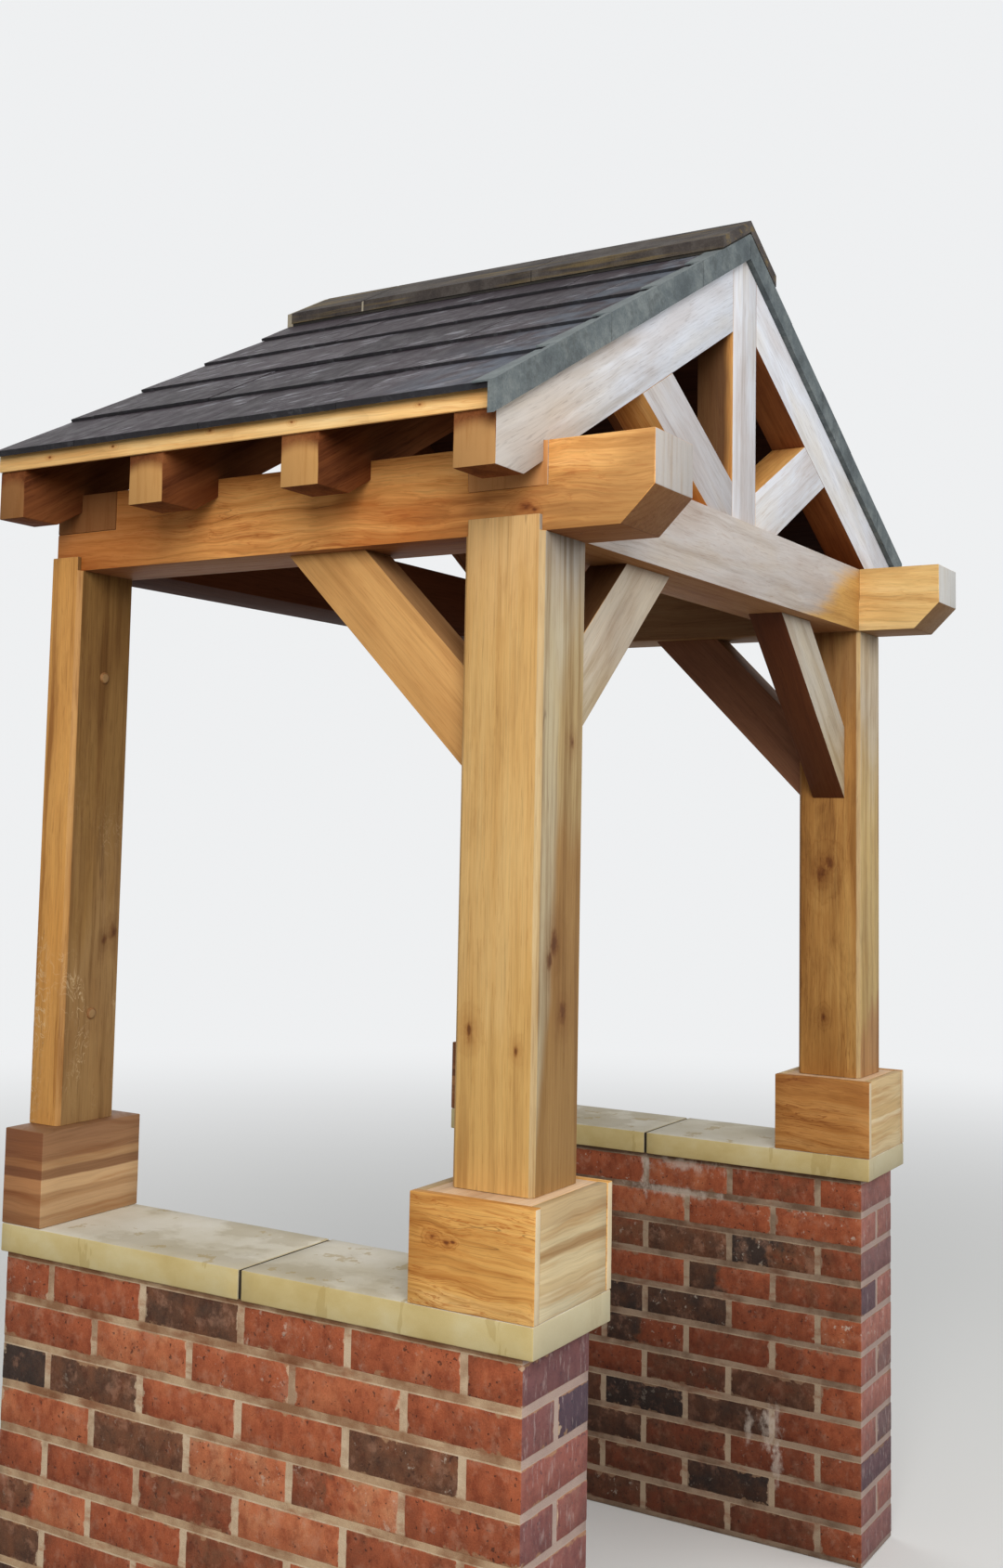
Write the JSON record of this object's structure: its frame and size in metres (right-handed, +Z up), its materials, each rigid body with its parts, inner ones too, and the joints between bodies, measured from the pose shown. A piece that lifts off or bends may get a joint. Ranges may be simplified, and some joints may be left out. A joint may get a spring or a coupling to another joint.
{
  "type": "gabled porch canopy",
  "caption": "Open oak-framed porch canopy with a front truss and braces, on low brick side walls with coping stones, under a small tiled gable roof.",
  "frame": {"origin": "middle of the bounding box at ground level, half the depth out from the house wall", "axes": "+X across the porch to the right as seen from the house path, +Y back into the house wall, +Z up"},
  "size_m": [1.99, 1.308, 2.9427],
  "materials": {
    "brick": "rough fired clay with pale mortar",
    "coping_stone": "matt cast stone",
    "oak_block": "laminated oak, unsealed",
    "oak": "planed green oak, unsealed",
    "sarking_board": "dark stained boards",
    "eaves_softwood": "sawn softwood",
    "roof_tile": "matt, weathered",
    "ridge_tile": "matt, weathered",
    "verge_cloak": "matt"
  },
  "bodies": {
    "root": {"front_tie_beam": "oak", "king_post": "oak", "left_dwarf_wall": "brick", "left_eaves_board": "eaves_softwood", "left_eaves_plate": "oak", "left_front_base_block": "oak_block", "left_front_coping": "coping_stone", "left_front_post": "oak", "left_front_rafter": "oak", "left_plate_brace": "oak", "left_rear_coping": "coping_stone", "left_roof_tiles": "roof_tile", "left_sarking": "sarking_board", "left_second_rafter": "oak", "left_strut": "oak", "left_third_rafter": "oak", "left_tie_brace": "oak", "left_verge": "verge_cloak", "left_wall_base_block": "oak_block", "left_wall_post": "oak", "left_wall_rafter": "oak", "ridge_board": "oak", "ridge_tiles": "ridge_tile", "right_dwarf_wall": "brick", "right_eaves_board": "eaves_softwood", "right_eaves_plate": "oak", "right_front_base_block": "oak_block", "right_front_coping": "coping_stone", "right_front_post": "oak", "right_front_rafter": "oak", "right_plate_brace": "oak", "right_rear_coping": "coping_stone", "right_roof_tiles": "roof_tile", "right_sarking": "sarking_board", "right_second_rafter": "oak", "right_strut": "oak", "right_third_rafter": "oak", "right_tie_brace": "oak", "right_verge": "verge_cloak", "right_wall_base_block": "oak_block", "right_wall_post": "oak", "right_wall_rafter": "oak", "wall_tie_beam": "oak"}
  },
  "joints": []
}
